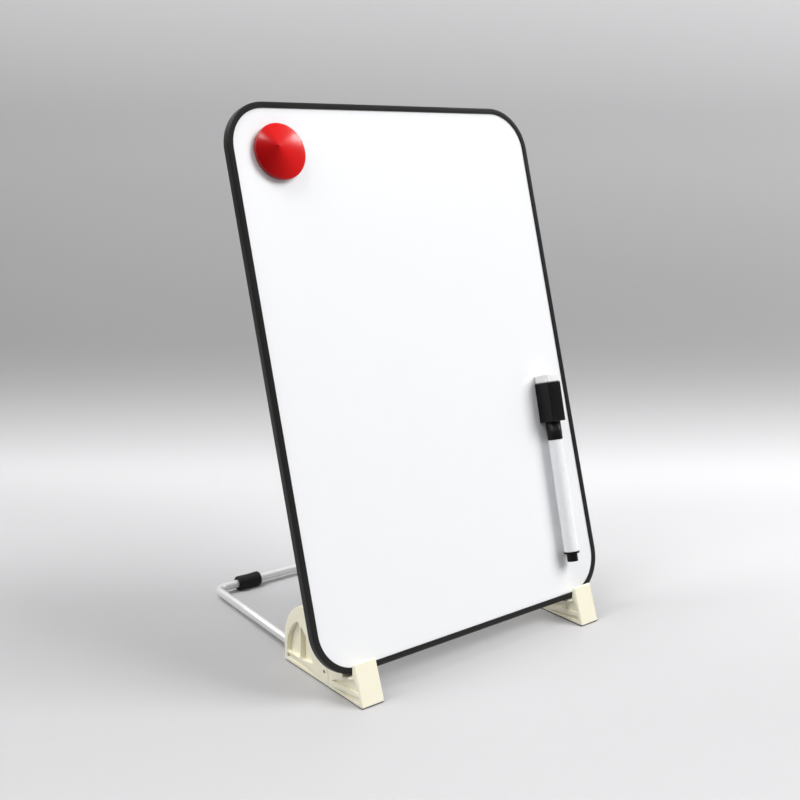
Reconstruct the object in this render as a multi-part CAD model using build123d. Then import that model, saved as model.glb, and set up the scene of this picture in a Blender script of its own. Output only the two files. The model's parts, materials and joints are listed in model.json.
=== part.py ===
from build123d import *
import os
from math import cos, hypot, radians, sin, tan

# Desk whiteboard easel: a framed panel held in two hinged clips on a stand of two
# moulded brackets and a bent steel rod, with a button magnet and a capped marker.
# Millimetres.  x runs across the panel, y from the user to the rear, z up from the desk.
# Side-view points are (y, z), with y counted from the panel's front lower edge.

os.makedirs("parts", exist_ok=True)

# ---------------------------------------------------------------- panel
board_w = 210.0          # outside the trim
board_h = 300.0
board_t = 5.0            # trim, front to back
board_corner_r = 25.0
board_lean = 16.2        # degrees behind upright
seat_z = 13.4            # desk to the front lower edge
bezel = 3.4              # width of the trim seen from the front
trim_wall = 1.4          # trim outside the edge of the stack
trim_lip = 0.8           # trim in front of and behind the stack
trim_edge = (0.7, 1.0)   # chamfered front and rear edges
skin_t = 0.3             # lacquered steel sheet

# ---------------------------------------------------------------- feet
foot_inset = 23.8        # side of the panel to the middle of the foot
foot_w = 14.4
pocket_d = 2.8           # side pockets, in each flank
toe_pocket_d = 1.4       # and the shallower one beside the toe
rim_t = 1.8              # band left around the hidden pocket of the backrest
pocket_corner = 0.9      # cut across the corners of the side pockets
pad_t = 0.8              # rubber under the feet
pad_inset = 0.5

# front clip
toe_y = -12.3            # front lower edge of the clip
toe_lean = 19.5          # degrees, front face of the lip
toe_edge = 0.7           # chamfer along its two side outlines
lip_z = 21.9             # top of the lip
lip_back_y = -3.1        # upright rear face of the lip
lip_top_r = 0.9
slot_root_r = 1.5        # between the lip and the floor of the slot
rest_z = 37.5            # top of the backrest
rest_top_r = 1.4
rest_pocket_z = (13.5, 30.0)
toe_pocket = ((15.3, 5.6), (-9.6, 7.7), (-4.8, 14.0))
toe_flute = ((15.0, 2.2), (-9.8, 2.4), (-9.0, 5.4))

# hinge
pin_y = 21.6
pin_z = 7.8
pin_r = 1.0
pin_recess = 0.35        # pin ends below the cheek faces
knuckle_r = 3.4          # cheeks around the pin; the two halves butt at this distance
tongue_r = 3.0
tongue_t = 4.6
neck_h = 4.2             # height of the tongue where it leaves the clip
fork_r = 4.3             # round bottom of the slot that the tongue turns in
tilt_range = 35.0        # degrees that the clip and panel lean back

# rear bracket
heel_y = 60.2            # rear face
heel_z = 11.1            # where the rear face turns into the quarter round
crest_y = 40.0           # top of the quarter round
crest_z = 37.6
ledge_heel_z = 6.5       # top of the base at the heel
ledge_z = 6.4            # at the rib
ledge_front_z = 8.2      # and at the front pocket's front corner
rib_y = 44.4             # upright rib between the side pockets
rib_t = 1.2
pocket_heel = 2.4        # band behind the rear pocket, at the ledge
pocket_top_y = 47.0      # top corner of the rear pocket
pocket_top_z = 27.6
pocket_bulge = 3.2       # rise of the rear pocket's curved side over its chord
pocket_front_y = 32.0    # front corner of the front pocket
pocket_rib_z = 26.0      # top of both pockets along the rib
pocket_shoulder = (38.4, 20.8)
flute_d = 1.2            # shallow leaf-shaped flutes along the base
flute_heel_z = (2.8, 5.1)
flute_belly_y = 44.0
flute_belly_z = (2.4, 5.3)
flute_tip = (28.0, 2.6)

# rod
rod_d = 5.0
rod_bar_y = 162.2        # middle of the rear bar
rod_toe_in = 6.8         # how far each leg leans in by the rear corner
rod_bend_r = 7.0
rod_grip = 28.0          # length held in the bracket
socket_z = 6.4           # rod's middle where it leaves the bracket
sleeve_d = 9.2
sleeve_l = 16.0
sleeve_inset = 23.0      # corner of the rod to the middle of the sleeve

# ---------------------------------------------------------------- button magnet
button_side = 29.4       # left side of the panel to the middle of the button
button_drop = 27.05      # and from the top of the panel
button_r = 15.0
button_rim_h = 3.2       # top of the straight skirt
button_h = 7.2
button_tip_r = 1.2
button_tip_h = 0.5
disc_r = 10.0
disc_t = 3.0

# ---------------------------------------------------------------- marker
marker_side = 26.0       # right side of the panel to the lower end of its axis
marker_u = 22.4          # the same from the bottom
marker_turn = 2.2        # degrees clockwise, seen from the front
block_w = 10.4           # across
block_d = 11.8           # off the panel
block_l = 23.7
block_edge_r = 0.6
skirt_r = 4.5
skirt_l = 10.8
felt_l = 5.0
felt_inset = 0.3
bar_size = (7.0, 1.6, 17.0)   # magnet strip in the back of the cap
bar_skin = 0.5                # cap wall between the strip and the panel
barrel_r = 4.4
barrel_l = 67.5
barrel_wall = 0.9
stub_r = 3.25
stub_l = 4.8
flange_r = 4.7
flange_l = 1.2
stopper_l = 5.0          # end plug inside the barrel
nose_r = 3.4
nose_l = 12.0            # straight part held by the cap
nose_collar_l = 4.0      # narrow part around the nib
nose_tip_r = 2.0
nose_root_l = 7.0        # inside the barrel
nib_r = 1.2
nib_out = 4.5            # beyond the nose
nib_in = 5.0             # into the reservoir
nib_tip_r = 0.5
cap_roof = 8.0           # solid end of the cap

# ---------------------------------------------------------------- clearances
fit_gap = 0.25           # parts that lie against each other but can part
swing_gap = 0.25         # hinge halves
side_gap = 0.2           # tongue between the cheeks
pin_run = 0.05           # pin in the tongue
press = 0.02             # pieces pressed into one another
cap_run = 0.08           # cap over the nose

lean = radians(board_lean)
tilt = radians(tilt_range)
butt_y = pin_y - knuckle_r
clip_rear_y = butt_y - swing_gap
foot_x = board_w / 2 - foot_inset
bar_z = sleeve_d / 2
rod_r = rod_d / 2
rod_corner_x = foot_x - rod_toe_in
origin_y = (toe_y + rod_bar_y + sleeve_d / 2) / 2


def on_panel(u, w):
    """Side-view point u up the panel and w in front of its face."""
    return (u * sin(lean) - w * cos(lean), seat_z + u * cos(lean) + w * sin(lean))


def panel_line_at(w, z):
    """Side-view point at height z on the line w in front of the panel's face."""
    return on_panel((z - seat_z - w * sin(lean)) / cos(lean), w)


def outline(*points):
    return make_face(Polyline(*points, close=True))


def rounded(face, point, radius):
    corner = face.vertices().sort_by_distance(Vector(*point, 0))[0]
    return fillet(corner, radius)


def across(face, width):
    """A side-view face as a plate of that width, its middle at x = 0."""
    return extrude(Plane.YZ * face, amount=width / 2, both=True)


def both_sides(face, width, depth):
    """Two cutters that sink a side-view face into the flanks of a plate."""
    near = Pos(width / 2 - depth, 0, 0) * extrude(Plane.YZ * face, amount=2 * depth)
    return [near, mirror(near, Plane.YZ)]


def side_rod(y, z, radius, width):
    """A round bar across the foot at a side-view point."""
    return Pos(0, y, z) * Rot(Y=90) * Cylinder(radius, width)


def turned(*points):
    """A turned piece from its half section (radius, height), axis along z."""
    return revolve(Plane.XZ * make_face(Polyline(*points, close=True)), Axis.Z)


# ---------------------------------------------------------------- panel
front = Plane(origin=(0, 0, seat_z), x_dir=(1, 0, 0), z_dir=(0, -cos(lean), sin(lean))).location


def panel_slab(inset, depth, thickness):
    """A rounded slab in the panel, from depth behind the front face backwards."""
    face = RectangleRounded(board_w - 2 * inset, board_h - 2 * inset, board_corner_r - inset)
    return Pos(0, board_h / 2, -depth - thickness) * extrude(face, amount=thickness)


def make_trim():
    body = panel_slab(0, 0, board_t)
    for end, size in zip((-1, 0), trim_edge):
        body = chamfer(body.faces().sort_by(Axis.Z)[end].edges(), size)
    body -= panel_slab(bezel, -1, board_t + 2)
    return body - panel_slab(trim_wall, trim_lip, board_t - 2 * trim_lip)


def make_panel():
    core_t = board_t - 2 * (trim_lip + skin_t)
    return {
        "edge_trim": front * make_trim(),
        "front_writing_sheet": front * panel_slab(trim_wall, trim_lip, skin_t),
        "board_core": front * panel_slab(trim_wall, trim_lip + skin_t, core_t),
        "rear_backing_sheet": front * panel_slab(trim_wall, trim_lip + skin_t + core_t, skin_t),
    }


# ---------------------------------------------------------------- feet
def clip_outline():
    """Toe, leaning lip, slot across the panel's lower edge, backrest and butt face."""
    rest_w = -(board_t + fit_gap)
    lip_front = (toe_y + (lip_z - pad_t) * tan(radians(toe_lean)), lip_z)
    root = (lip_back_y, on_panel(-fit_gap, 0)[1] + (on_panel(-fit_gap, 0)[0] - lip_back_y) * tan(lean))
    rest_front = panel_line_at(rest_w, rest_z)
    face = outline(
        (toe_y, pad_t), lip_front, (lip_back_y, lip_z), root,
        on_panel(-fit_gap, rest_w), rest_front, (clip_rear_y, rest_z), (clip_rear_y, pad_t),
    )
    for point, radius in ((lip_front, lip_top_r), ((lip_back_y, lip_z), lip_top_r), (root, slot_root_r),
                          (rest_front, rest_top_r), ((clip_rear_y, rest_z), rest_top_r)):
        face = rounded(face, point, radius)
    return face


def clip_pockets():
    low, high = rest_pocket_z
    front_w = -(board_t + fit_gap + rim_t)
    rest = outline(panel_line_at(front_w, low), panel_line_at(front_w, high),
                   (clip_rear_y - rim_t, high), (clip_rear_y - rim_t, low))
    beside_toe = outline(*toe_pocket)
    return [(chamfer(beside_toe.vertices(), pocket_corner), toe_pocket_d),
            (chamfer(rest.vertices(), pocket_corner), pocket_d), (outline(*toe_flute), flute_d)]


def make_clip():
    body = across(clip_outline(), foot_w)
    toe_edges = body.edges().filter_by(GeomType.LINE).filter_by(
        lambda e: abs(e.center().X) > foot_w / 2 - 0.01 and e.center().Y < lip_back_y and e.length > lip_z / 2)
    body = chamfer(toe_edges.filter_by(lambda e: abs((e @ 0).Y - (e @ 1).Y) > 1), toe_edge)
    for face, depth in clip_pockets():
        body -= both_sides(face, foot_w, depth)
    neck = outline((clip_rear_y - 1, pin_z - neck_h / 2), (pin_y, pin_z - neck_h / 2),
                   (pin_y, pin_z + neck_h / 2), (clip_rear_y - 1, pin_z + neck_h / 2))
    body += across(neck, tongue_t) + side_rod(pin_y, pin_z, tongue_r, tongue_t)
    return body - side_rod(pin_y, pin_z, pin_r + pin_run, foot_w)


def bracket_outline():
    """Butt face, knuckle, leaning stop face, crest and quarter-round back."""
    stop = (pin_y - knuckle_r * cos(tilt), pin_z + knuckle_r * sin(tilt))
    knuckle_mid = (pin_y - knuckle_r * cos(tilt / 2), pin_z + knuckle_r * sin(tilt / 2))
    crest_front = (stop[0] + (crest_z - stop[1]) * tan(tilt), crest_z)
    back = EllipticalCenterArc((crest_y, heel_z), heel_y - crest_y, crest_z - heel_z, start_angle=0, arc_size=90)
    edges = [
        Line((butt_y, pad_t), (butt_y, pin_z)),
        ThreePointArc((butt_y, pin_z), knuckle_mid, stop),
        Line(stop, crest_front),
        Line(crest_front, (crest_y, crest_z)),
        back,
        Line((heel_y, heel_z), (heel_y, pad_t)),
        Line((heel_y, pad_t), (butt_y, pad_t)),
    ]
    return make_face(edges)


def bracket_pockets():
    low = (heel_y - pocket_heel, ledge_heel_z)
    top = (pocket_top_y, pocket_top_z)
    chord = (top[0] - low[0], top[1] - low[1])
    span = hypot(*chord)
    bulge = ((low[0] + top[0]) / 2 + pocket_bulge * chord[1] / span,
             (low[1] + top[1]) / 2 - pocket_bulge * chord[0] / span)
    rib_rear = rib_y + rib_t / 2
    rib_front = rib_y - rib_t / 2
    rear = make_face([
        Line((rib_rear, ledge_z), low), ThreePointArc(low, bulge, top),
        Line(top, (rib_rear, pocket_rib_z)), Line((rib_rear, pocket_rib_z), (rib_rear, ledge_z)),
    ])
    ahead = outline((rib_front, ledge_z), (rib_front, pocket_rib_z), pocket_shoulder,
                    (pocket_front_y, ledge_front_z))
    return [chamfer(face.vertices(), pocket_corner) for face in (rear, ahead)]


def base_flute():
    """A leaf from a blunt end at the heel to a point behind the hinge."""
    heel_low = (heel_y - pocket_heel, flute_heel_z[0])
    heel_high = (heel_y - pocket_heel, flute_heel_z[1])
    return make_face([
        Line(heel_low, heel_high),
        ThreePointArc(heel_high, (flute_belly_y, flute_belly_z[1]), flute_tip),
        ThreePointArc(flute_tip, (flute_belly_y, flute_belly_z[0]), heel_low),
    ])


def rod_leg():
    """Ends of the right leg's straight part, from inside its socket to the rear corner."""
    mouth = Vector(foot_x, heel_y, socket_z)
    corner = Vector(rod_corner_x, rod_bar_y, bar_z)
    return mouth - (corner - mouth).normalized() * rod_grip, corner


def make_bracket():
    body = across(bracket_outline(), foot_w)
    for face in bracket_pockets():
        body -= both_sides(face, foot_w, pocket_d)
    body -= both_sides(base_flute(), foot_w, flute_d)
    body -= side_rod(pin_y, pin_z, fork_r, tongue_t + 2 * side_gap)
    body -= side_rod(pin_y, pin_z, pin_r + press, foot_w + 2)
    inner, corner = rod_leg()
    bore = Plane(origin=inner - Vector(foot_x, 0, 0), z_dir=corner - inner)
    return body - extrude(bore * Circle(rod_r + press), amount=rod_grip + rod_d)


def make_pad(start, end):
    width = foot_w - 2 * pad_inset
    return Pos(0, (start + end) / 2, pad_t / 2) * Box(width, end - start - 2 * pad_inset, pad_t)


def make_rod():
    inner, corner = rod_leg()
    mirrored = [Vector(-point.X, point.Y, point.Z) for point in (corner, inner)]
    route = FilletPolyline(inner, corner, *mirrored, radius=rod_bend_r)
    return sweep(Plane(origin=route @ 0, z_dir=route % 0) * Circle(rod_r), path=route)


def make_sleeve():
    return Rot(Y=90) * (Cylinder(sleeve_d / 2, sleeve_l) - Cylinder(rod_r + press, sleeve_l + 2))


def make_stand():
    pieces = {}
    clip = make_clip()
    bracket = make_bracket()
    pin = side_rod(pin_y, pin_z, pin_r, foot_w - 2 * pin_recess)
    front_pad = make_pad(toe_y, clip_rear_y)
    rear_pad = make_pad(butt_y, heel_y)
    sleeve = Pos(0, rod_bar_y, bar_z) * make_sleeve()
    for side, sign in (("left", -1), ("right", 1)):
        place = Pos(sign * foot_x, 0, 0)
        pieces[f"{side}_front_clip"] = place * clip
        pieces[f"{side}_rear_bracket"] = place * (bracket if sign > 0 else mirror(bracket, Plane.YZ))
        pieces[f"{side}_hinge_pin"] = place * pin
        pieces[f"{side}_front_pad"] = place * front_pad
        pieces[f"{side}_rear_pad"] = place * rear_pad
        pieces[f"{side}_rod_sleeve"] = Pos(sign * (rod_corner_x - sleeve_inset), 0, 0) * sleeve
    pieces["support_rod"] = make_rod()
    return pieces


# ---------------------------------------------------------------- button magnet
def make_button():
    seat_r = disc_r + press
    cap = turned(
        (seat_r, fit_gap), (button_r, fit_gap), (button_r, button_rim_h), (button_tip_r, button_h - button_tip_h),
        (button_tip_r, button_h), (0, button_h), (0, disc_t + press), (seat_r, disc_t + press),
    )
    place = front * Pos(button_side - board_w / 2, board_h - button_drop, -trim_lip)
    return {"magnet_button": place * cap, "magnet_disc": place * Pos(0, 0, disc_t / 2) * Cylinder(disc_r, disc_t)}


# ---------------------------------------------------------------- marker
def make_marker():
    # heights along the marker's axis, from the free end of the plug
    barrel_s = stub_l + flange_l
    mouth_s = barrel_s + barrel_l
    block_s = mouth_s + fit_gap + skirt_l
    felt_s = block_s + block_l
    nose_end_s = mouth_s + nose_l + nose_collar_l
    stock_s = mouth_s - nose_root_l
    bore_r = barrel_r - barrel_wall
    cap_bore_r = nose_r + cap_run
    back_y = block_d / 2

    block = Pos(0, 0, block_s + block_l / 2) * Box(block_w, block_d, block_l)
    block = fillet(block.edges().filter_by(Axis.Z), block_edge_r)
    skirt = Pos(0, 0, mouth_s + fit_gap + skirt_l / 2) * Cylinder(skirt_r, skirt_l)
    cavity_l = felt_s - cap_roof - mouth_s
    cavity = Pos(0, 0, mouth_s + cavity_l / 2) * Cylinder(cap_bore_r, cavity_l)
    bar = Pos(0, back_y - bar_skin - bar_size[1] / 2, block_s + block_l / 2) * Box(*bar_size)
    bar_seat = Pos(0, back_y - bar_skin - bar_size[1] / 2, block_s + block_l / 2) * Box(
        *(size + 2 * press for size in bar_size))
    felt = Pos(0, 0, felt_s + felt_l / 2) * Box(block_w - 2 * felt_inset, block_d - 2 * felt_inset, felt_l)

    barrel = turned((bore_r, barrel_s), (barrel_r, barrel_s), (barrel_r, mouth_s), (bore_r, mouth_s))
    plug = turned(
        (0, 0), (stub_r, 0), (stub_r, stub_l), (flange_r, stub_l), (flange_r, barrel_s),
        (bore_r - press, barrel_s), (bore_r - press, barrel_s + stopper_l), (0, barrel_s + stopper_l),
    )
    nib_hole_r = nib_r + press
    nose = turned(
        (nib_hole_r, stock_s), (bore_r - press, stock_s), (bore_r - press, mouth_s), (nose_r, mouth_s),
        (nose_r, mouth_s + nose_l), (nose_tip_r, mouth_s + nose_l), (nose_tip_r, nose_end_s),
        (nib_hole_r, nose_end_s),
    )
    nib_foot_s = stock_s - nib_in
    nib = turned(
        (0, nib_foot_s), (nib_r, nib_foot_s), (nib_r, nose_end_s + nib_out - nib_r),
        (nib_tip_r, nose_end_s + nib_out), (0, nose_end_s + nib_out),
    )
    ink_s = barrel_s + stopper_l
    ink = turned(
        (0, ink_s), (bore_r - press, ink_s), (bore_r - press, stock_s), (nib_hole_r, stock_s),
        (nib_hole_r, nib_foot_s), (0, nib_foot_s),
    )

    place = (front * Pos(board_w / 2 - marker_side, marker_u, block_d / 2 - trim_lip)
             * Rot(Z=-marker_turn) * Rot(X=-90))
    pieces = {
        "marker_cap": block + skirt - cavity - bar_seat,
        "cap_magnet": bar,
        "eraser_felt": felt,
        "marker_barrel": barrel,
        "marker_end_plug": plug,
        "marker_nose": nose,
        "marker_nib": nib,
        "ink_reservoir": ink,
    }
    return {name: place * piece for name, piece in pieces.items()}


for name, piece in (make_panel() | make_stand() | make_button() | make_marker()).items():
    export_step(Pos(0, -origin_y, 0) * piece, f"parts/{name}.step")
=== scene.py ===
import bpy
import json
import numpy as np
from math import radians
from mathutils import Matrix, Vector


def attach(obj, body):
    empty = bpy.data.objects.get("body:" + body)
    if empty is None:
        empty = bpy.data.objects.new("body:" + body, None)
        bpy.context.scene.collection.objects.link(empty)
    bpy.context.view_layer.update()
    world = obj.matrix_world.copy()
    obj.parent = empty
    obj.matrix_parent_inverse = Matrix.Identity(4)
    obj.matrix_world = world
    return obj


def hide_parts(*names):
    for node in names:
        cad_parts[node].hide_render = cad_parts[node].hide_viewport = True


# Looks for a small desk whiteboard easel: finishes and finer pieces laid over the
# measured model, then the desk, the camera and the lamps.  Metres, z up from the desk.

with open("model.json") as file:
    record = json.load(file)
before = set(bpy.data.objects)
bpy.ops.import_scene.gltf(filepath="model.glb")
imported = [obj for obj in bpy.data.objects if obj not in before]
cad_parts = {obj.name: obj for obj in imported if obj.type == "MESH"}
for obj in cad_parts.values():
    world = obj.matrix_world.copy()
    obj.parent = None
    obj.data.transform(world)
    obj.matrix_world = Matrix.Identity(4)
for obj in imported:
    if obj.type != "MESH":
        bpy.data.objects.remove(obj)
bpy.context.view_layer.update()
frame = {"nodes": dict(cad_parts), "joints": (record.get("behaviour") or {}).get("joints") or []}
nodes = frame["nodes"]

# The panel's own axes at rest.
jointOf = {joint["name"]: joint for joint in frame["joints"]}
across = np.array((1.0, 0.0, 0.0))
upPanel = np.array(jointOf["board_lift"]["axis"])
offPanel = np.cross(across, upPanel)          # out of the writing face


# One node: each setting is a property of the node, or else the input of that name.
def addNode(tree, kind, **settings):
    node = tree.nodes.new(kind)
    for name, value in settings.items():
        if hasattr(node, name):
            setattr(node, name, value)
        else:
            node.inputs[name.replace("_", " ")].default_value = value
    return node


def wire(tree, source, target):
    tree.links.new(source, target)


# An empty shader group: inputs are {label: default}, outputs are {label: socket kind}.
def newGroup(name, inputs, outputs):
    tree = bpy.data.node_groups.new(name, "ShaderNodeTree")
    for label, value in inputs.items():
        socket = tree.interface.new_socket(name=label, in_out="INPUT", socket_type="NodeSocketFloat")
        socket.default_value = value
    for label, kind in outputs.items():
        tree.interface.new_socket(name=label, in_out="OUTPUT", socket_type=kind)
    return tree, tree.nodes.new("NodeGroupInput"), tree.nodes.new("NodeGroupOutput")


def useGroup(tree, group, **values):
    node = tree.nodes.new("ShaderNodeGroup")
    node.node_tree = group
    for name, value in values.items():
        node.inputs[name].default_value = value
    return node


# Sockets or numbers in, the result's socket out.
def calc(tree, operation, *values, clamp=False):
    node = addNode(tree, "ShaderNodeMath", operation=operation, use_clamp=clamp)
    for socket, value in zip(node.inputs, values):
        if isinstance(value, (int, float)):
            socket.default_value = value
        else:
            wire(tree, value, socket)
    return node.outputs[0]


# A value carried from the first pair of ends to the second, held at both.
def ranged(tree, value, given, wanted=(0.0, 1.0)):
    node = addNode(tree, "ShaderNodeMapRange", From_Min=given[0], From_Max=given[1],
                   To_Min=wanted[0], To_Max=wanted[1])
    wire(tree, value, node.inputs["Value"])
    return node.outputs["Result"]


# From the first colour at 0 to the second at 1; each is a tuple or a socket.
def blend(tree, amount, first, second):
    factor, start, end, result = 0, 6, 7, 2          # the node's sockets for colours
    node = addNode(tree, "ShaderNodeMix", data_type="RGBA")
    for index, colour in ((start, first), (end, second)):
        if isinstance(colour, tuple):
            node.inputs[index].default_value = colour + (1.0,)
        else:
            wire(tree, colour, node.inputs[index])
    wire(tree, amount, node.inputs[factor])
    return node.outputs[result]


def addObject(name, data):
    added = bpy.data.objects.new(name, data)
    bpy.context.scene.collection.objects.link(added)
    return added


# Fine moulded or sprayed grain: two noises, the second five times finer, added 2 : 1.
def makeGrain():
    tree, given, out = newGroup("fineGrain", {"Scale": 1500.0}, {"Grain": "NodeSocketFloat"})
    place = addNode(tree, "ShaderNodeTexCoord").outputs["Object"]
    coarse = addNode(tree, "ShaderNodeTexNoise", Detail=3.0, Roughness=0.6)
    fine = addNode(tree, "ShaderNodeTexNoise", Detail=2.0)
    for noise in (coarse, fine):
        wire(tree, place, noise.inputs["Vector"])
    wire(tree, given.outputs["Scale"], coarse.inputs["Scale"])
    wire(tree, calc(tree, "MULTIPLY", given.outputs["Scale"], 5.0), fine.inputs["Scale"])
    third = calc(tree, "MULTIPLY", fine.outputs["Fac"], 1 / 3)
    wire(tree, calc(tree, "MULTIPLY_ADD", coarse.outputs["Fac"], 2 / 3, third), out.inputs["Grain"])
    return tree


# Edge is 1 where a surface turns sharply within Radius: the gap between the plain normal
# and the one rounded over Radius.  Normal is the rounded one.
def makeEdgeMask():
    tree, given, out = newGroup("edgeMask", {"Radius": 0.0005, "Gain": 3.0},
                                {"Edge": "NodeSocketFloat", "Normal": "NodeSocketVector"})
    soft = addNode(tree, "ShaderNodeBevel", samples=6)
    wire(tree, given.outputs["Radius"], soft.inputs["Radius"])
    plain = addNode(tree, "ShaderNodeNewGeometry")
    turn = addNode(tree, "ShaderNodeVectorMath", operation="DOT_PRODUCT")
    wire(tree, soft.outputs["Normal"], turn.inputs[0])
    wire(tree, plain.outputs["Normal"], turn.inputs[1])
    gap = calc(tree, "SUBTRACT", 1.0, turn.outputs["Value"])
    wire(tree, calc(tree, "MULTIPLY", gap, given.outputs["Gain"], clamp=True), out.inputs["Edge"])
    wire(tree, soft.outputs["Normal"], out.inputs["Normal"])
    return tree


# Handling haze: slow noise pulled out along one way, spread from 0 at Low to 1 at High.
def makeMarks():
    tree, given, out = newGroup("handMarks", {"Scale": 20.0, "Low": 0.45, "High": 0.75},
                                {"Haze": "NodeSocketFloat"})
    place = addNode(tree, "ShaderNodeTexCoord").outputs["Object"]
    turn = addNode(tree, "ShaderNodeMapping", Rotation=(0.3, 0.2, 0.9), Scale=(1.0, 1.0, 0.35))
    wire(tree, place, turn.inputs["Vector"])
    noise = addNode(tree, "ShaderNodeTexNoise", Detail=5.0, Roughness=0.62, Distortion=0.8)
    wire(tree, turn.outputs["Vector"], noise.inputs["Vector"])
    wire(tree, given.outputs["Scale"], noise.inputs["Scale"])
    span = tree.nodes.new("ShaderNodeMapRange")
    wire(tree, noise.outputs["Fac"], span.inputs["Value"])
    wire(tree, given.outputs["Low"], span.inputs["From Min"])
    wire(tree, given.outputs["High"], span.inputs["From Max"])
    wire(tree, span.outputs["Result"], out.inputs["Haze"])
    return tree


# Dust on upward faces: the square of the normal's z, broken up by noise.
def makeDust():
    tree, given, out = newGroup("settledDust", {"Amount": 0.3, "Scale": 300.0}, {"Dust": "NodeSocketFloat"})
    place = addNode(tree, "ShaderNodeTexCoord")
    split = tree.nodes.new("ShaderNodeSeparateXYZ")
    wire(tree, place.outputs["Normal"], split.inputs["Vector"])
    noise = addNode(tree, "ShaderNodeTexNoise", Detail=6.0, Roughness=0.7)
    wire(tree, place.outputs["Object"], noise.inputs["Vector"])
    wire(tree, given.outputs["Scale"], noise.inputs["Scale"])
    upward = calc(tree, "POWER", calc(tree, "MAXIMUM", split.outputs["Z"], 0.0), 2.0)
    broken = calc(tree, "MULTIPLY", upward, noise.outputs["Fac"])
    wire(tree, calc(tree, "MULTIPLY", broken, given.outputs["Amount"], clamp=True), out.inputs["Dust"])
    return tree


grainGroup, edgeGroup, marksGroup, dustGroup = makeGrain(), makeEdgeMask(), makeMarks(), makeDust()
dustColour = (0.62, 0.61, 0.58)


# Where the painted shade goes: 1 on walls that stand square to the writing face, 0 on faces
# that look out from it: the part of the normal along offPanel, from 1 to 0 over the span.
def paintedShadeWallMask(tree, span):
    facing = addNode(tree, "ShaderNodeVectorMath", operation="DOT_PRODUCT")
    wire(tree, addNode(tree, "ShaderNodeTexCoord").outputs["Normal"], facing.inputs[0])
    facing.inputs[1].default_value = tuple(offPanel)
    return ranged(tree, facing.outputs["Value"], span, (1.0, 0.0))


# One finish from its dictionary: the colour goes to hazeColour, edgeColour and dust by their
# masks; haze and grain move the roughness; grain is the height.  A finish may have a painted
# sheen, a lighter colour where it slants away from the eye, and a painted shade on the walls
# that stand on the panel, darker than the sheen.
def makeFinish(name, look):
    material = bpy.data.materials.new(name)
    material.use_nodes = True
    tree = material.node_tree
    shader = tree.nodes["Principled BSDF"]
    for socket, value in look.get("constants", {}).items():
        shader.inputs[socket].default_value = value
    marks = useGroup(tree, marksGroup, Scale=look["marksScale"])
    edges = useGroup(tree, edgeGroup, Radius=look["edgeRadius"])
    dust = useGroup(tree, dustGroup, Amount=look.get("dust", 0.1))
    grain = useGroup(tree, grainGroup, Scale=look["grainScale"])
    layers = ((marks.outputs["Haze"], look["hazeColour"], look.get("hazeAmount", 0.5)),
              (edges.outputs["Edge"], look["edgeColour"], look.get("edgeAmount", 0.5)),
              (dust.outputs["Dust"], dustColour, 1.0))
    # Painted sheen: the colour turns lighter where the surface slants away from the eye.
    if "paintedSheenColour" in look:
        slant = tree.nodes.new("ShaderNodeLayerWeight").outputs["Facing"]
        layers = ((ranged(tree, slant, look["paintedSheenSpan"]), look["paintedSheenColour"], 1.0),) + layers
    # Painted shade on the walls that stand on the panel, laid over every other layer.
    if "paintedShadeWallColour" in look:
        layers += ((paintedShadeWallMask(tree, look["paintedShadeWallSpan"]), look["paintedShadeWallColour"], 1.0),)
    colour = look["colour"]
    for mask, tint, amount in layers:
        colour = blend(tree, calc(tree, "MULTIPLY", mask, amount), colour, tint)
    wire(tree, colour, shader.inputs["Base Color"])
    hazed = calc(tree, "MULTIPLY_ADD", marks.outputs["Haze"], look["roughSpread"], look["roughness"])
    level = calc(tree, "SUBTRACT", grain.outputs["Grain"], 0.5)
    wire(tree, calc(tree, "MULTIPLY_ADD", level, look.get("grainRough", 0.1), hazed, clamp=True),
         shader.inputs["Roughness"])
    bump = addNode(tree, "ShaderNodeBump", Strength=look["grainStrength"], Distance=look["grainDepth"])
    wire(tree, grain.outputs["Grain"], bump.inputs["Height"])
    wire(tree, edges.outputs["Normal"], bump.inputs["Normal"])
    wire(tree, bump.outputs["Normal"], shader.inputs["Normal"])
    return material


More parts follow.
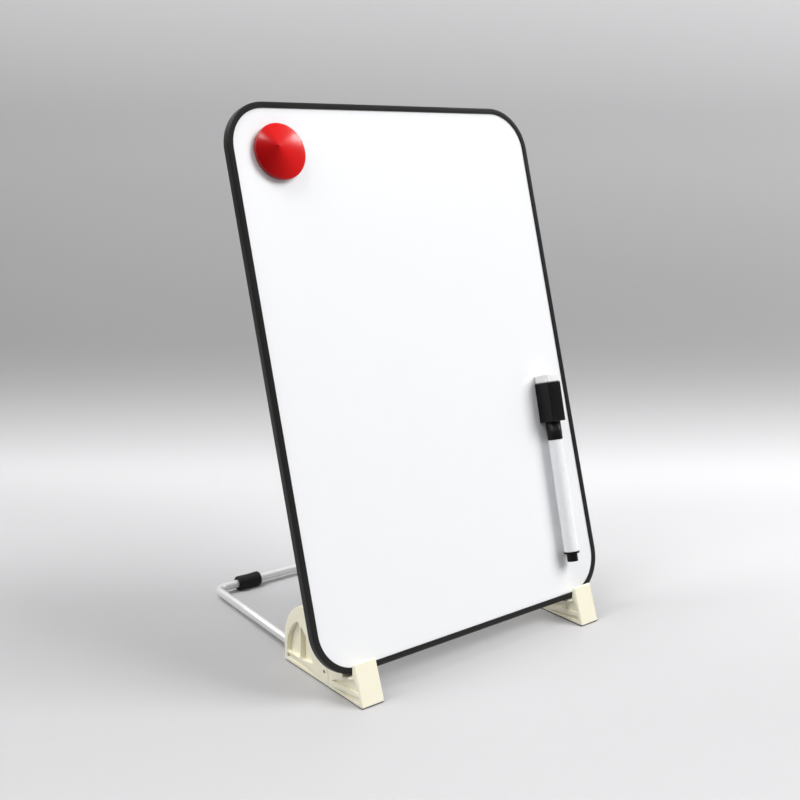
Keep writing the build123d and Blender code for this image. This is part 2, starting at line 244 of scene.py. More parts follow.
# Colours are linear; radii and depths are in metres, scales per metre.
finishes = {
    "ivoryPlastic": {
        "colour": (0.905, 0.865, 0.70), "hazeColour": (0.88, 0.83, 0.65), "edgeColour": (0.94, 0.92, 0.80),
        "edgeRadius": 0.00045, "marksScale": 60.0, "roughness": 0.40, "roughSpread": 0.10,
        "grainScale": 2200.0, "grainStrength": 0.25, "grainDepth": 0.00004, "dust": 0.06,
        "constants": {"IOR": 1.46, "Subsurface Weight": 0.12, "Subsurface Radius": (0.9, 0.7, 0.35),
                      "Subsurface Scale": 0.002},
    },
    "charcoalTrim": {
        "colour": (0.014, 0.0137, 0.0135), "hazeColour": (0.019, 0.0187, 0.0185),
        "edgeColour": (0.026, 0.026, 0.025), "edgeRadius": 0.0003, "marksScale": 35.0,
        "roughness": 0.36, "roughSpread": 0.10,
        "grainScale": 2600.0, "grainStrength": 0.3, "grainDepth": 0.00003, "dust": 0.02,
        "constants": {"IOR": 1.48, "Specular IOR Level": 0.28},
    },
    "whiteLacquer": {
        "colour": (0.905, 0.91, 0.925), "hazeColour": (0.885, 0.895, 0.915), "edgeColour": (0.92, 0.93, 0.94),
        "edgeRadius": 0.0002, "marksScale": 9.0, "roughness": 0.16, "roughSpread": 0.09,
        "grainScale": 260.0, "grainStrength": 0.05, "grainDepth": 0.00003, "grainRough": 0.03, "dust": 0.01,
        "constants": {"IOR": 1.5, "Coat Weight": 0.25, "Coat Roughness": 0.08},
    },
    "greyBacking": {
        "colour": (0.46, 0.47, 0.48), "hazeColour": (0.40, 0.41, 0.42), "edgeColour": (0.5, 0.51, 0.52),
        "edgeRadius": 0.0002, "marksScale": 14.0, "roughness": 0.46, "roughSpread": 0.12,
        "grainScale": 1400.0, "grainStrength": 0.25, "grainDepth": 0.00004, "dust": 0.05,
        "constants": {"IOR": 1.45},
    },
    "coreBoard": {
        "colour": (0.44, 0.33, 0.21), "hazeColour": (0.36, 0.26, 0.16), "edgeColour": (0.5, 0.4, 0.28),
        "edgeRadius": 0.0002, "marksScale": 120.0, "roughness": 0.85, "roughSpread": 0.1,
        "grainScale": 900.0, "grainStrength": 0.6, "grainDepth": 0.0001, "constants": {"IOR": 1.4},
    },
    "redPlastic": {
        "colour": (0.245, 0.001, 0.0015), "hazeColour": (0.42, 0.003, 0.004), "hazeAmount": 0.15,
        # The lighter red at a slant is a painted sheen.
        "paintedSheenColour": (0.66, 0.012, 0.012), "paintedSheenSpan": (0.03, 0.26),
        # The wall red is a painted shade on the button's wall, darker than the sheen.
        "paintedShadeWallColour": (0.30, 0.003, 0.003), "paintedShadeWallSpan": (0.50, 0.74),
        # The dark violet edge is a painted shade and dark reflection along the rim and the nub.
        "edgeColour": (0.13, 0.002, 0.02), "edgeAmount": 0.9, "edgeRadius": 0.0005,
        "marksScale": 40.0, "roughness": 0.18, "roughSpread": 0.03,
        "grainScale": 900.0, "grainStrength": 0.06, "grainDepth": 0.00003, "grainRough": 0.04, "dust": 0.01,
        "constants": {"IOR": 1.5, "Specular IOR Level": 0.25},
    },
    "blackPlastic": {
        "colour": (0.0055, 0.0055, 0.006), "hazeColour": (0.007, 0.007, 0.0075), "hazeAmount": 0.4,
        # The darker edge is a painted shade and dark reflection: a black line along the corners.
        "edgeColour": (0.001, 0.001, 0.001), "edgeAmount": 1.0, "edgeRadius": 0.0005,
        "marksScale": 70.0, "roughness": 0.36, "roughSpread": 0.05,
        "grainScale": 1800.0, "grainStrength": 0.15, "grainDepth": 0.00003, "grainRough": 0.05, "dust": 0.015,
        "constants": {"IOR": 1.5, "Specular IOR Level": 0.18},
    },
    "blackRubber": {
        "colour": (0.0075, 0.0075, 0.008), "hazeColour": (0.011, 0.011, 0.012),
        "edgeColour": (0.014, 0.014, 0.015), "edgeRadius": 0.0005, "marksScale": 80.0,
        "roughness": 0.52, "roughSpread": 0.12,
        "grainScale": 2400.0, "grainStrength": 0.4, "grainDepth": 0.00006, "dust": 0.02,
        "constants": {"IOR": 1.5, "Specular IOR Level": 0.2},
    },
    "satinSteel": {
        "colour": (0.84, 0.845, 0.84), "hazeColour": (0.81, 0.815, 0.81), "edgeColour": (0.85, 0.85, 0.85),
        "hazeAmount": 0.3, "edgeRadius": 0.0002, "marksScale": 45.0,
        "roughness": 0.36, "roughSpread": 0.04,
        "grainScale": 2400.0, "grainStrength": 0.05, "grainDepth": 0.00003, "grainRough": 0.05, "dust": 0.02,
        "constants": {"Metallic": 0.45},
    },
    "pinSteel": {
        "colour": (0.30, 0.30, 0.29), "hazeColour": (0.2, 0.19, 0.18), "edgeColour": (0.4, 0.4, 0.4),
        "edgeRadius": 0.0002, "marksScale": 200.0, "roughness": 0.35, "roughSpread": 0.15,
        "grainScale": 2500.0, "grainStrength": 0.3, "grainDepth": 0.00003, "constants": {"Metallic": 1.0},
    },
    "whitePlastic": {
        "colour": (0.86, 0.87, 0.885), "hazeColour": (0.83, 0.84, 0.86), "edgeColour": (0.88, 0.89, 0.9),
        "edgeRadius": 0.0003, "marksScale": 60.0, "roughness": 0.26, "roughSpread": 0.06,
        "grainScale": 1500.0, "grainStrength": 0.1, "grainDepth": 0.00003, "dust": 0.01,
        "constants": {"IOR": 1.47},
    },
    "greyFelt": {
        "colour": (0.86, 0.86, 0.845), "hazeColour": (0.70, 0.70, 0.69), "edgeColour": (0.88, 0.88, 0.87),
        "edgeRadius": 0.0006, "marksScale": 260.0, "roughness": 0.92, "roughSpread": 0.05,
        "grainScale": 1300.0, "grainStrength": 0.9, "grainDepth": 0.00035,
        "constants": {"Sheen Weight": 0.35, "Sheen Roughness": 0.5},
    },
    "magnetFerrite": {
        "colour": (0.030, 0.029, 0.029), "hazeColour": (0.05, 0.048, 0.046),
        "edgeColour": (0.09, 0.088, 0.086), "edgeRadius": 0.0004, "marksScale": 150.0,
        "roughness": 0.62, "roughSpread": 0.12,
        "grainScale": 1700.0, "grainStrength": 0.5, "grainDepth": 0.00005, "constants": {"IOR": 1.7},
    },
    "inkFibre": {
        "colour": (0.62, 0.62, 0.60), "hazeColour": (0.05, 0.05, 0.06), "edgeColour": (0.66, 0.66, 0.64),
        "edgeRadius": 0.0003, "marksScale": 90.0, "roughness": 0.9, "roughSpread": 0.05,
        "grainScale": 2600.0, "grainStrength": 0.8, "grainDepth": 0.0001, "constants": {"Sheen Weight": 0.2},
    },
    "nibFibre": {
        "colour": (0.012, 0.012, 0.014), "hazeColour": (0.03, 0.03, 0.034), "edgeColour": (0.05, 0.05, 0.055),
        "edgeRadius": 0.0003, "marksScale": 200.0, "roughness": 0.8, "roughSpread": 0.1,
        "grainScale": 3200.0, "grainStrength": 0.8, "grainDepth": 0.0001, "constants": {"IOR": 1.4},
    },
}
materials = {name: makeFinish(name, look) for name, look in finishes.items()}

finishOf = {
    "edge_trim": "charcoalTrim", "front_writing_sheet": "whiteLacquer", "board_core": "coreBoard",
    "rear_backing_sheet": "greyBacking", "support_rod": "satinSteel", "magnet_button": "redPlastic",
    "magnet_disc": "magnetFerrite", "marker_cap": "blackPlastic", "cap_magnet": "magnetFerrite",
    "eraser_felt": "greyFelt", "marker_barrel": "whitePlastic", "marker_end_plug": "blackPlastic",
    "marker_nose": "whitePlastic", "marker_nib": "nibFibre", "ink_reservoir": "inkFibre",
}
for side in ("left", "right"):
    finishOf.update({f"{side}_front_clip": "ivoryPlastic", f"{side}_rear_bracket": "ivoryPlastic",
                     f"{side}_hinge_pin": "pinSteel", f"{side}_front_pad": "blackRubber",
                     f"{side}_rear_pad": "blackRubber", f"{side}_rod_sleeve": "blackRubber"})
for name, finish in finishOf.items():
    for place in nodes[name].material_slots:
        place.material = materials[finish]
print("finishes made:", len(materials))


# Places read from the measured model: all of a node's points, and its reach along an axis.
def pointsOf(name):
    mesh = nodes[name].data
    flat = np.empty(len(mesh.vertices) * 3, np.float32)
    mesh.vertices.foreach_get("co", flat)
    return flat.reshape(-1, 3).astype(float)


def spanOf(name, axis):
    along = pointsOf(name) @ axis
    return along.min(), along.max()


# A mesh over rings[i, j] = point.  Each ring is joined to the next and round to its own start;
# the first and last rings are joined too when looped, and otherwise closed flat.
def skinOverRings(name, rings, material, looped=False):
    count, around = rings.shape[:2]
    i, j = np.meshgrid(np.arange(count if looped else count - 1), np.arange(around), indexing="ij")
    after = (i + 1) % count
    faces = np.stack((i * around + j, i * around + (j + 1) % around,
                      after * around + (j + 1) % around, after * around + j), -1).reshape(-1, 4).tolist()
    if not looped:
        faces += [list(range(around))[::-1], list(range((count - 1) * around, count * around))]
    mesh = bpy.data.meshes.new(name)
    mesh.from_pydata(rings.reshape(-1, 3), [], faces)
    mesh.polygons.foreach_set("use_smooth", np.ones(len(faces), bool))
    mesh.materials.append(material)
    return addObject(name, mesh)


# The piece rides on the body and stands in for the replaced nodes.
def settle(piece, body, slot, *replaced):
    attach(piece, body)
    for node in replaced:
        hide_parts(node)


# A line through corners with each one rounded: between the tangent points b - t u and b + t v,
# t = r tan(half the turn), it is the quadratic blend of those two points and b.
def roundedLine(corners, radii, steps=7):
    leastTurn = 1e-9
    points = [np.array(corners[0])]
    for before, here, after, radius in zip(corners, corners[1:], corners[2:], radii):
        before, here, after = np.array(before), np.array(here), np.array(after)
        inward, outward = here - before, after - here
        inward, outward = inward / np.linalg.norm(inward), outward / np.linalg.norm(outward)
        t = radius * np.sqrt(max(leastTurn, (1 - inward @ outward) / (1 + inward @ outward)))
        k = np.linspace(0.0, 1.0, steps)[:, None]
        points.extend((1 - k) ** 2 * (here - t * inward) + 2 * k * (1 - k) * here
                      + k ** 2 * (here + t * outward))
    points.append(np.array(corners[-1]))
    return np.array(points)


trimShape = {
    "bezel": 0.0034,           # width seen from the front
    "lip": 0.0008,             # thickness of the two lips
    "wall": 0.0014,            # thickness outside the sheets
    "frontRound": 0.0012, "innerRound": 0.0004, "rearRound": 0.0010,
    "hiddenRound": 0.00005, "rearInnerRound": 0.0002,
    "cornerSteps": 22,
}


# The trim: a closed section of (inset, depth) points carried round the panel.  At corner angle a
# a point lies at centre + (R - inset) (cos a, sin a), R being the corner's radius, and at its depth
# behind the face.
def makeTrim():
    shape = trimShape
    points = pointsOf("edge_trim")
    side, rise, off = points @ across, points @ upPanel, points @ offPanel
    thickness, near = np.ptp(off), 0.00005
    radius = side.max() - side[rise > rise.max() - near].max()
    bezel, lip, wall = shape["bezel"], shape["lip"], shape["wall"]
    corners = [(wall, lip), (bezel, lip), (bezel, 0.0), (0.0, 0.0), (0.0, thickness), (bezel, thickness),
               (bezel, thickness - lip), (wall, thickness - lip), (wall, lip)]
    rounds = ("hiddenRound", "innerRound", "frontRound", "rearRound", "rearInnerRound", "hiddenRound",
              "hiddenRound")
    section = roundedLine(corners, [shape[name] for name in rounds])[:-1]
    steps = shape["cornerSteps"]
    quarter = np.linspace(0.0, np.pi / 2, steps)
    turn = np.concatenate([quarter + k * np.pi / 2 for k in range(4)])
    middleSide = np.repeat((1, -1, -1, 1), steps) * (side.max() - radius)
    low, high = rise.min() + radius, rise.max() - radius
    middleRise = np.repeat((high, high, low, low), steps)
    reach = radius - section[None, :, 0]
    sideways = middleSide[:, None] + reach * np.cos(turn)[:, None]
    upwards = middleRise[:, None] + reach * np.sin(turn)[:, None]
    depth = np.broadcast_to(off.max() - section[None, :, 1], upwards.shape)
    rings = sideways[..., None] * across + upwards[..., None] * upPanel + depth[..., None] * offPanel
    settle(skinOverRings("edgeTrim", rings, materials["charcoalTrim"], looped=True),
           "board", "charcoal_trim", "edge_trim")


# Rings of a round profile along a path: the path's direction d, a level normal n = d x up and
# b = n x d make each ring's plane, so a wire keeps its section through every bend.  A ring runs
# from n towards -b.
def ringsAlong(path, radius, around):
    direction = np.gradient(path, axis=0)
    direction /= np.linalg.norm(direction, axis=1, keepdims=True)
    level = np.cross(direction, (0.0, 0.0, 1.0))
    level /= np.linalg.norm(level, axis=1, keepdims=True)
    raised = np.cross(level, direction)
    turn = np.linspace(0.0, 2 * np.pi, around, endpoint=False)[None, :, None]
    return path[:, None] + np.reshape(radius, (-1, 1, 1)) * (np.cos(turn) * level[:, None]
                                                            - np.sin(turn) * raised[:, None])


rodShape = {"bend": 0.0070, "bendReach": 0.0062, "bendSteps": 26, "around": 40}
sleeveShape = {
    "endRound": 0.0011, "boreRound": 0.0003,
    "slack": 0.00005,          # round the rod
    "inside": 0.002,           # how far in the skin follows the bore
    "waist": 0.00018, "waistShare": 0.8, "waistRings": 17,
    "around": 64,
}


# The bent rod, rebuilt smooth.  Each leg's middle line is the straight line of least squares
# through its skin, and the rear bar's middle is the middle of the ring at its end.  The path is
# taken backwards, so that the skin looks outwards.
def makeRod():
    x, y, z = np.unique(pointsOf("support_rod").round(6), axis=0).T
    rearmost, sameRing = 0.00002, 0.0001
    barEnd = abs(x - x[y > y.max() - rearmost].max()) < sameRing
    barY, barZ = ((at[barEnd].max() + at[barEnd].min()) / 2 for at in (y, z))
    radius = np.ptp(z[barEnd]) / 2
    start = y.min()
    leg = (x > 0) & (y < barY - rodShape["bendReach"])
    leanX = np.polyfit(y[leg], x[leg], 1)
    leanZ = np.polyfit(y[leg], z[leg], 1)
    ends = [np.array((np.polyval(leanX, at), at, np.polyval(leanZ, at))) for at in (start, barY)]
    ends[1][2] = barZ
    mirror = np.array((-1.0, 1.0, 1.0))
    path = roundedLine([ends[0], ends[1], ends[1] * mirror, ends[0] * mirror],
                       (rodShape["bend"],) * 2, rodShape["bendSteps"])
    rings = ringsAlong(path[::-1], radius, rodShape["around"])
    settle(skinOverRings("bentRod", rings, materials["satinSteel"]), "stand", "satin_steel", "support_rod")
    return barY, barZ, radius


# A rubber sleeve: a turned skin along x, rounded into flat ends that meet the rod.  It is a little
# waisted: r = R - waist cos(pi u / 2) squared, u from -1 to 1 over waistShare of its length.
def makeSleeve(side, barY, barZ, rodRadius):
    shape = sleeveShape
    low, high = spanOf(f"{side}_rod_sleeve", across)
    outer = np.ptp(pointsOf(f"{side}_rod_sleeve")[:, 2]) / 2
    half, bore = (high - low) / 2, rodRadius + shape["slack"]
    inside, cornerSteps = half - shape["inside"], 9
    corners = [(bore, -inside), (bore, -half), (outer, -half), (outer, half), (bore, half), (bore, inside)]
    rounds = [shape[name] for name in ("boreRound", "endRound", "endRound", "boreRound")]
    line = roundedLine(corners, rounds, cornerSteps)
    reach = shape["waistShare"] * half
    fill = np.linspace(-reach, reach, shape["waistRings"])
    waist = np.stack((outer - shape["waist"] * np.cos(np.pi / 2 * fill / reach) ** 2, fill), -1)
    line = np.concatenate((line[:len(line) // 2], waist, line[len(line) // 2:]))
    turn = np.linspace(0.0, 2 * np.pi, shape["around"], endpoint=False)
    middle = np.array(((low + high) / 2, barY, barZ))
    rings = middle + np.stack((np.broadcast_to(line[:, None, 1], (len(line), len(turn))),
                               line[:, None, 0] * np.cos(turn), line[:, None, 0] * np.sin(turn)), -1)
    settle(skinOverRings(f"{side}Sleeve", rings, materials["blackRubber"], looped=True),
           "stand", "black_rubber", f"{side}_rod_sleeve")


makeTrim()
bar = makeRod()
for side in ("left", "right"):
    makeSleeve(side, *bar)
print("trim, rod and sleeves made")


buttonShape = {
    "rimHeight": 0.0032, "rimRound": 0.0007, "baseRound": 0.0005,
    "undercut": 0.0005,                  # the wall draws in from the rim to its foot
    "slack": 0.00004,                    # round the magnet
    "seatRound": 0.0001, "mouthRound": 0.0002,
    "brow": (0.002, 0.0005),             # in from the rim and up from it, where the cone begins
    "bow": 0.24, "coneRings": 39,
    "tipShift": (-0.0030, 0.0019),       # the cone's tip sits off the middle
    "tipRadius": 0.0006, "nubHeight": 0.0002, "nubRound": 0.0004,
    "nubShare": 0.75,                    # the nub's top over the tip's radius
    "around": 200,
}


# The button, from the roof of the magnet's seat out over the foot, the wall and the rim to the tip.
# Each ring is a circle of radius r at height h off the panel, centred at s times the tip's shift.
# Over the cone r = R + (rTip - R) s and h = hRim + (hTip - hRim) (s + bow s (1 - s)).
def makeButton():
    shape = buttonShape
    left, right = spanOf("magnet_button", across)
    low, high = spanOf("magnet_button", upPanel)
    base, top = spanOf("magnet_button", offPanel)
    radius, height = (right - left) / 2, top - base
    seat = np.ptp(pointsOf("magnet_disc")[:, 0]) / 2 + shape["slack"]
    roof = spanOf("magnet_disc", offPanel)[1] + shape["slack"] - base
    rim, brow = shape["rimHeight"], shape["brow"]
    firstRing, lastRing = seat * 0.02, 0.00006          # radii of the two rings that are closed flat
    corners = [(firstRing, roof), (seat, roof), (seat, 0.0), (radius - shape["undercut"], 0.0),
               (radius, rim), (radius - brow[0], rim + brow[1])]
    rounds = [shape[name] for name in ("seatRound", "mouthRound", "baseRound", "rimRound")]
    skirt = roundedLine(corners, rounds)[:-1]
    share = np.linspace(0.0, 1.0, shape["coneRings"] + 1)[1:]
    tipHeight = height - shape["nubHeight"]
    start = skirt[-1]
    cone = np.stack((start[0] + (shape["tipRadius"] - start[0]) * share,
                     start[1] + (tipHeight - start[1]) * (share + shape["bow"] * share * (1 - share))), -1)
    nub = roundedLine([cone[-1], (shape["tipRadius"] * shape["nubShare"], height), (lastRing, height)],
                      [shape["nubRound"]])[1:]
    line = np.concatenate((skirt, cone, nub))
    shift = np.concatenate((np.zeros(len(skirt)), share, np.ones(len(nub))))
    turn = np.linspace(0.0, 2 * np.pi, shape["around"], endpoint=False)
    middle = across * (left + right) / 2 + upPanel * (low + high) / 2 + offPanel * base
    side = line[:, None, 0] * np.cos(turn) + shift[:, None] * shape["tipShift"][0]
    rise = line[:, None, 0] * np.sin(turn) + shift[:, None] * shape["tipShift"][1]
    rings = (middle + side[..., None] * across + rise[..., None] * upPanel
             + np.broadcast_to(line[:, None, 1:2], side.shape + (1,)) * offPanel)
    settle(skinOverRings("coneButton", rings, materials["redPlastic"]),
           "magnet", "red_plastic", "magnet_button")


makeButton()

# The marker's own axes: along the pen, sideways, and off the panel.
alongPen = -np.array(jointOf["marker_pull"]["axis"])
sidePen = np.cross(alongPen, offPanel)
barrelOff = spanOf("marker_barrel", offPanel)
penMiddle = sidePen * sum(spanOf("marker_barrel", sidePen)) / 2 + offPanel * sum(barrelOff) / 2
barrelRadius = (barrelOff[1] - barrelOff[0]) / 2

capShape = {
    "edgeRound": 0.0006, "endRound": 0.0005, "skirtRound": 0.00035,
    "boreDepth": 0.010,        # from the block's far end to the skirt's closed end
    "skirtInto": 0.001,        # how far the skirt goes up into the block
    "corner": 8, "around": 96,
}
feltShape = {
    "edgeRound": 0.0009, "endRound": 0.0008,
    "fuzz": 0.00018,           # depth of the pushed in faces
    "waves": ((9100.0, 5200.0, 2400.0), (-4700.0, 8600.0, 6900.0), (3300.0, -7400.0, 9800.0)),   # 1/m
    "corner": 26, "endSteps": 8, "sideRings": 12,
}


# Turned about the pen's axis: line holds (radius, place along the axis).
def ringsAlongPen(line, around):
    turn = np.linspace(0.0, 2 * np.pi, around, endpoint=False)
    return (penMiddle + (line[:, None, 0] * np.cos(turn))[..., None] * sidePen
            + (line[:, None, 0] * np.sin(turn))[..., None] * offPanel
            + np.broadcast_to(line[:, None, 1:2], (len(line), around, 1)) * alongPen)


# A rounded rectangle carried along the pen; line holds (inset, place).  At inset e the half sides
# are h - e and the corners' radius is the larger of r - e and leastShare r.  The rings are handed
# back from high to low, so that the skin over them looks outwards.
def blockRings(halfSide, halfOff, middle, line, edgeRound, corner):
    leastShare = 0.1
    quarter = np.linspace(0.0, np.pi / 2, corner)
    turn = np.concatenate([quarter + k * np.pi / 2 for k in range(4)])
    signSide = np.repeat((1, -1, -1, 1), corner)
    signOff = np.repeat((1, 1, -1, -1), corner)
    inset = line[:, None, 0]
    bend = np.maximum(edgeRound - inset, leastShare * edgeRound)
    side = signSide * (halfSide - inset - bend) + bend * np.cos(turn)
    off = signOff * (halfOff - inset - bend) + bend * np.sin(turn)
    return (middle + side[..., None] * sidePen + off[..., None] * offPanel
            + np.broadcast_to(line[:, None, 1:2], side.shape + (1,)) * alongPen)[::-1]


# (inset, place) from low to high, each end a quarter round of that radius.
def endedLine(low, high, radius, steps=6):
    bend = np.linspace(0.0, np.pi / 2, steps)
    first = np.stack((radius * (1 - np.sin(bend)), low + radius * (1 - np.cos(bend))), -1)
    last = np.stack((radius * (1 - np.cos(bend)), high - radius * (1 - np.sin(bend))), -1)
    return np.concatenate((first, last))


# The cap: a square block over a round skirt, open below so that the pen can be drawn out.
def makeCap():
    shape = capShape
    points = pointsOf("marker_cap")
    side, off, along = points @ sidePen, points @ offPanel, points @ alongPen
    middleSide, middleOff = penMiddle @ sidePen, penMiddle @ offPanel
    clear, near = 1.1 * barrelRadius, 0.0002
    outer = np.abs(side - middleSide) > clear
    blockLow, blockHigh, skirtLow = along[outer].min(), along.max(), along.min()
    middle = sidePen * (side.max() + side.min()) / 2 + offPanel * (off.max() + off.min()) / 2
    block = blockRings(np.ptp(side) / 2, np.ptp(off) / 2, middle,
                       endedLine(blockLow, blockHigh, shape["endRound"]), shape["edgeRound"], shape["corner"])
    settle(skinOverRings("capBlock", block, materials["blackPlastic"]), "cap", "black_plastic", "marker_cap")
    radial = np.hypot(side - middleSide, off - middleOff)
    low = along < skirtLow + near
    bore, wall = radial[low].min(), radial[low].max()
    corners = [(bore, blockHigh - shape["boreDepth"]), (bore, skirtLow), (wall, skirtLow),
               (wall, blockLow + shape["skirtInto"])]
    skirt = ringsAlongPen(roundedLine(corners, [shape["skirtRound"]] * 2), shape["around"])
    settle(skinOverRings("capSkirt", skirt, materials["blackPlastic"]), "cap", "black_plastic")


# The felt block, its faces pushed in by the mean of three sines of unlike waves.
def makeFelt():
    shape = feltShape
    side, off, along = (spanOf("eraser_felt", axis) for axis in (sidePen, offPanel, alongPen))
    middle = sidePen * sum(side) / 2 + offPanel * sum(off) / 2
    steps, count = shape["endSteps"], shape["sideRings"]
    ends = endedLine(*along, shape["endRound"], steps)
    fill = np.linspace(ends[steps - 1, 1], ends[steps, 1], count + 2)[1:-1]
    line = np.concatenate((ends[:steps], np.stack((np.zeros(count), fill), -1), ends[steps:]))
    rings = blockRings(np.ptp(side) / 2, np.ptp(off) / 2, middle, line, shape["edgeRound"], shape["corner"])
    wave = sum(np.sin(rings @ way) for way in shape["waves"]) / len(shape["waves"])
    outward = rings - rings.mean(axis=1, keepdims=True)
    outward /= np.linalg.norm(outward, axis=-1, keepdims=True)
    rings = rings - outward * (shape["fuzz"] * (1 + wave[..., None]) / 2)
    settle(skinOverRings("feltPad", rings, materials["greyFelt"]), "cap", "grey_felt", "eraser_felt")


makeCap()
makeFelt()
print("button and marker made")


deskSetting = {
    "front": -2.6,             # where the floor starts, along the camera's heading from the origin
    "curveStart": 0.36, "curveRadius": 0.32, "top": 2.4, "halfWidth": 5.0,
    "rows": (13, 24, 8),       # over the floor, the bend and the wall
    "columns": 13,
    "roughness": 0.55, "ior": 1.35,
    "plainShade": (0.38, 0.38, 0.385),
    "tint": (1.0, 0.99, 1.005),
    "shadesSpan": (-0.4, 1.4),
    # Painted light and shade on the sweep: darkest where the floor turns up into the wall, darker on the
    # left.
    "shades": ((-0.40, 0.56), (-0.16, 0.47), (-0.04, 0.50), (0.08, 0.62), (0.20, 0.57), (0.32, 0.71),
               (0.46, 0.40), (0.58, 0.21), (0.80, 0.36), (1.1, 0.72)),   # (run, shade)
    "sideSpan": (-0.5, 0.5),
    "sideways": (0.87, 1.13),  # the shades' factor at the two ends of sideSpan
}
cameraSetting = {
    "place": (-0.39075, -0.50114, 0.27867),
    "azimuth": -38.380,        # degrees, 0 looks along +y
    "elevation": 12.925,
    "roll": 0.193,
    "lens": 49.69, "sensor": 36.0,       # mm
    "clip": (0.02, 20.0),
}


# Desk and backdrop in one sweep: the floor to d = curveStart, then d = start + r sin a and
# z = r (1 - cos a) for a to 90 degrees, then straight up.  Its UV map holds the run along
# that line and the way sideways, in metres.
def makeDesk():
    s = deskSetting
    floorRows, bendRows, wallRows = s["rows"]
    turn = np.linspace(0.0, np.pi / 2, bendRows)
    flat = np.stack((np.linspace(s["front"], s["curveStart"], floorRows + 1)[:-1], np.zeros(floorRows)), -1)
    bend = np.stack((s["curveStart"] + s["curveRadius"] * np.sin(turn),
                     s["curveRadius"] * (1 - np.cos(turn))), -1)
    wall = np.stack((np.full(wallRows, bend[-1, 0]),
                     np.linspace(bend[-1, 1], s["top"], wallRows + 1)[1:]), -1)
    run = np.concatenate((flat, bend, wall))
    side = np.linspace(-s["halfWidth"], s["halfWidth"], s["columns"])
    heading = radians(-cameraSetting["azimuth"])
    ahead = np.array((np.sin(heading), np.cos(heading)))
    aside = np.array((ahead[1], -ahead[0]))
    ground = run[:, None, 0, None] * ahead + side[None, :, None] * aside
    grid = np.concatenate((ground, np.broadcast_to(run[:, None, 1:2], ground.shape[:2] + (1,))), -1)
    rows, columns = grid.shape[:2]
    i, j = np.meshgrid(np.arange(rows - 1), np.arange(columns - 1), indexing="ij")
    near = i * columns + j
    faces = np.stack((near, near + 1, near + columns + 1, near + columns), -1).reshape(-1, 4)
    mesh = bpy.data.meshes.new("deskSweep")
    mesh.from_pydata(grid.reshape(-1, 3), [], faces)
    mesh.polygons.foreach_set("use_smooth", np.ones(len(faces), bool))
    length = np.concatenate(((0.0,), np.cumsum(np.hypot(*np.diff(run, axis=0).T)))) + s["front"]
    layer = mesh.uv_layers.new(name="runAndSide")
    index = np.empty(len(mesh.loops), np.int32)
    mesh.loops.foreach_get("vertex_index", index)
    pair = np.stack((length[index // columns], side[index % columns]), -1)
    layer.data.foreach_set("uv", pair.astype(np.float32).ravel())
    mesh.materials.append(makeDeskFinish())
    addObject("deskSweep", mesh)


# Plain pale grey.  What the camera and reflections see of it has painted light and shade: the
# shades along the run, darkest where the floor turns up into the wall, times the sideways factor,
# darker on the left; every other ray meets the plain shade.
def makeDeskFinish():
    s = deskSetting
    material = bpy.data.materials.new("paleDesk")
    material.use_nodes = True
    tree = material.node_tree
    shader = tree.nodes["Principled BSDF"]
    shader.inputs["Roughness"].default_value = s["roughness"]
    shader.inputs["IOR"].default_value = s["ior"]
    place = addNode(tree, "ShaderNodeUVMap", uv_map="runAndSide")
    split = tree.nodes.new("ShaderNodeSeparateXYZ")
    wire(tree, place.outputs["UV"], split.inputs["Vector"])
    ramp = tree.nodes.new("ShaderNodeValToRGB")
    ramp.color_ramp.interpolation = "B_SPLINE"
    wire(tree, ranged(tree, split.outputs["X"], s["shadesSpan"]), ramp.inputs["Fac"])
    while len(ramp.color_ramp.elements) < len(s["shades"]):
        ramp.color_ramp.elements.new(0.5)
    low, high = s["shadesSpan"]
    for stop, (run, shade) in zip(ramp.color_ramp.elements, s["shades"]):
        stop.position = (run - low) / (high - low)
        stop.color = [shade * part for part in s["tint"]] + [1.0]
    # Painted light and shade: the run's shades times the sideways factor.
    paintedLightAndShade = addNode(tree, "ShaderNodeVectorMath", operation="SCALE")
    wire(tree, ramp.outputs["Color"], paintedLightAndShade.inputs[0])
    wire(tree, ranged(tree, split.outputs["Y"], s["sideSpan"], s["sideways"]), paintedLightAndShade.inputs["Scale"])
    light = tree.nodes.new("ShaderNodeLightPath")
    seen = calc(tree, "MAXIMUM", light.outputs["Is Camera Ray"], light.outputs["Is Glossy Ray"])
    wire(tree, blend(tree, seen, s["plainShade"], paintedLightAndShade.outputs[0]), shader.inputs["Base Color"])
    return material


def makeCamera():
    s = cameraSetting
    data = bpy.data.cameras.new("viewCamera")
    data.lens, data.sensor_width = s["lens"], s["sensor"]
    data.clip_start, data.clip_end = s["clip"]
    camera = addObject("viewCamera", data)
    turn = (Matrix.Rotation(radians(s["azimuth"]), 4, "Z")
            @ Matrix.Rotation(radians(90.0 - s["elevation"]), 4, "X")
            @ Matrix.Rotation(radians(s["roll"]), 4, "Z"))
    camera.matrix_world = Matrix.Translation(s["place"]) @ turn
    bpy.context.scene.camera = camera


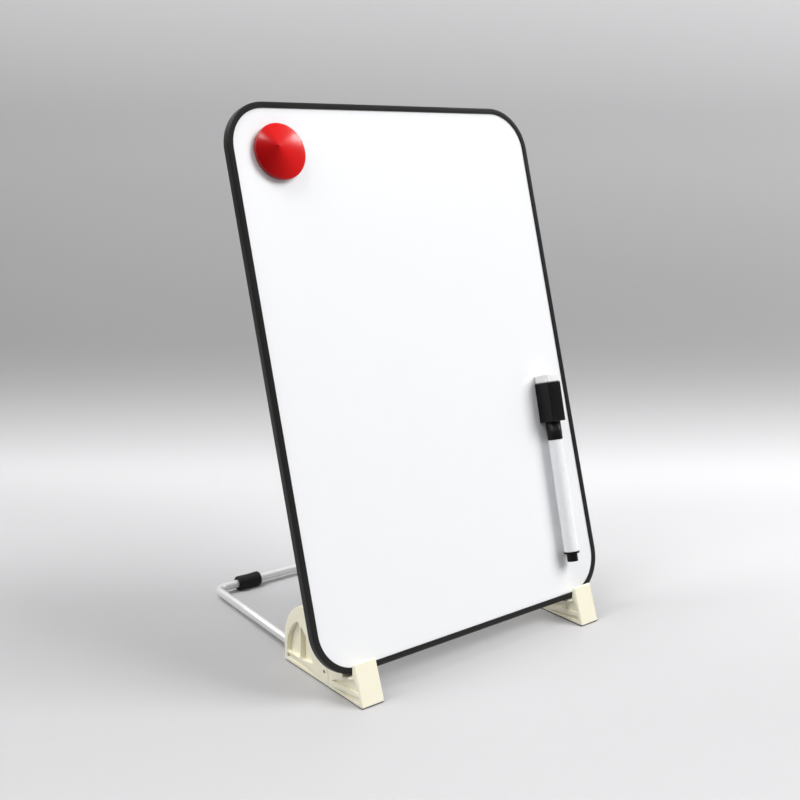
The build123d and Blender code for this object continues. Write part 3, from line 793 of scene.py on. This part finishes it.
# Each lamp stands at an azimuth (degrees to the right of straight ahead of the panel), an
# elevation and a distance from the aim, and is turned to face it.  With glossy False it isn't
# seen in reflections, and with diffuse False in nothing but reflections.
lampSetting = {
    "skyColour": (1.0, 1.0, 1.0),
    "skyStrength": 0.12,
    "skySeen": 0.60,           # what the camera sees of it past the backdrop
    "aim": (0.0, 0.0, 0.12),
    "boxes": {
        "keyBox": {"azimuth": 40.0, "elevation": 41.0, "away": 3.0, "size": (1.8, 1.8), "power": 92.0,
                   "glossy": False},
        "topBox": {"azimuth": -105.0, "elevation": 62.0, "away": 1.9, "size": (1.3, 1.3), "power": 31.0},
        "leftFill": {"azimuth": -100.0, "elevation": 22.0, "away": 1.9, "size": (0.9, 1.4), "power": 9.0,
                     "glossy": False},
        "rightGlint": {"azimuth": 74.0, "elevation": 34.0, "away": 2.2, "size": (0.3, 0.3), "power": 13.0,
                       "diffuse": False},
        "upperGlint": {"azimuth": -6.0, "elevation": 57.0, "away": 2.2, "size": (0.3, 0.3), "power": 5.0,
                       "diffuse": False},
    },
}


def makeLamp(name, look):
    data = bpy.data.lights.new(name, "AREA")
    data.shape = "RECTANGLE"
    data.size, data.size_y = look["size"]
    data.energy = look["power"]
    lamp = addObject(name, data)
    bearing, height = radians(look["azimuth"]), radians(look["elevation"])
    toLamp = Vector((np.sin(bearing) * np.cos(height), -np.cos(bearing) * np.cos(height), np.sin(height)))
    lamp.location = Vector(lampSetting["aim"]) + toLamp * look["away"]
    lamp.visible_glossy = look.get("glossy", True)
    lamp.visible_diffuse = look.get("diffuse", True)
    lamp.rotation_euler = (-toLamp).to_track_quat("-Z", "Y").to_euler()


# An even sky; the camera alone sees it at skySeen.
def makeRoom():
    s = lampSetting
    world = bpy.data.worlds.new("softRoom")
    bpy.context.scene.world = world
    world.use_nodes = True
    tree = world.node_tree
    sky = tree.nodes["Background"]
    sky.inputs["Color"].default_value = s["skyColour"] + (1.0,)
    seen = tree.nodes.new("ShaderNodeLightPath").outputs["Is Camera Ray"]
    wire(tree, calc(tree, "MULTIPLY_ADD", seen, s["skySeen"] - s["skyStrength"], s["skyStrength"]),
         sky.inputs["Strength"])


makeDesk()
makeCamera()
for name, look in lampSetting["boxes"].items():
    makeLamp(name, look)
makeRoom()
bpy.context.scene.view_settings.view_transform = "Standard"
print("desk, camera and lamps made")
